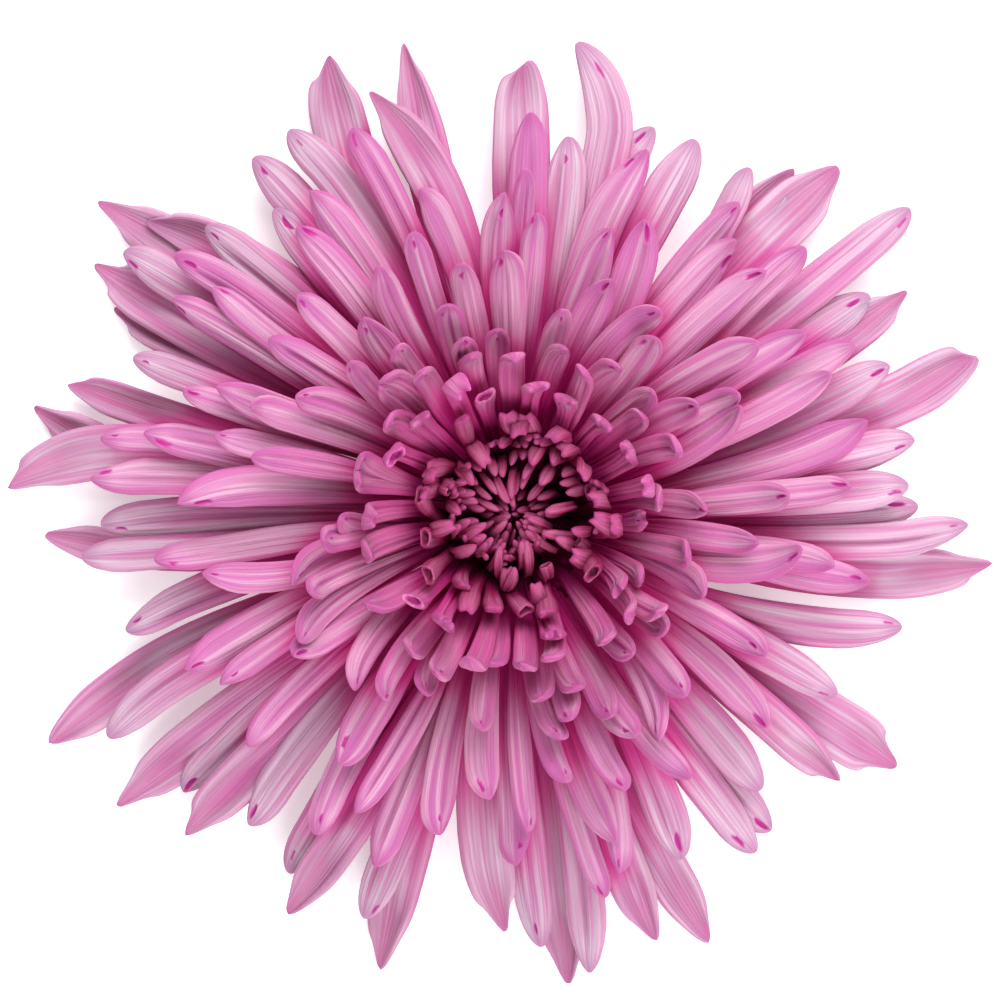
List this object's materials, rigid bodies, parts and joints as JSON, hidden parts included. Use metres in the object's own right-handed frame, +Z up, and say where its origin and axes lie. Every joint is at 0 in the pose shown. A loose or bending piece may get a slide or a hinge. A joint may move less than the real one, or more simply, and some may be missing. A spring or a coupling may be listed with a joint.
{
  "type": "spider chrysanthemum",
  "caption": "Cut spider chrysanthemum head lying face up: long quilled pink ray florets round a dark incurved eye, on a green cup of bracts with a short cut stem.",
  "frame": {"origin": "middle of the spread of the florets, on the surface that the head lies on", "axes": "+Z up, out of the open face of the flower; +X along the longest spread of the florets"},
  "size_m": [0.1224, 0.1178, 0.043],
  "materials": {
    "green_tissue": "matt green stem and bracts with paler edges",
    "ray_petal": "soft satin pink petal, paler at its base, violet-pink at its tip, finely veined lengthwise",
    "eye_petal": "soft satin dark magenta petal with a paler tip"
  },
  "bodies": {
    "root": {"stem_and_bracts": "green_tissue", "ray_florets": "ray_petal", "centre_florets": "eye_petal"}
  },
  "joints": []
}
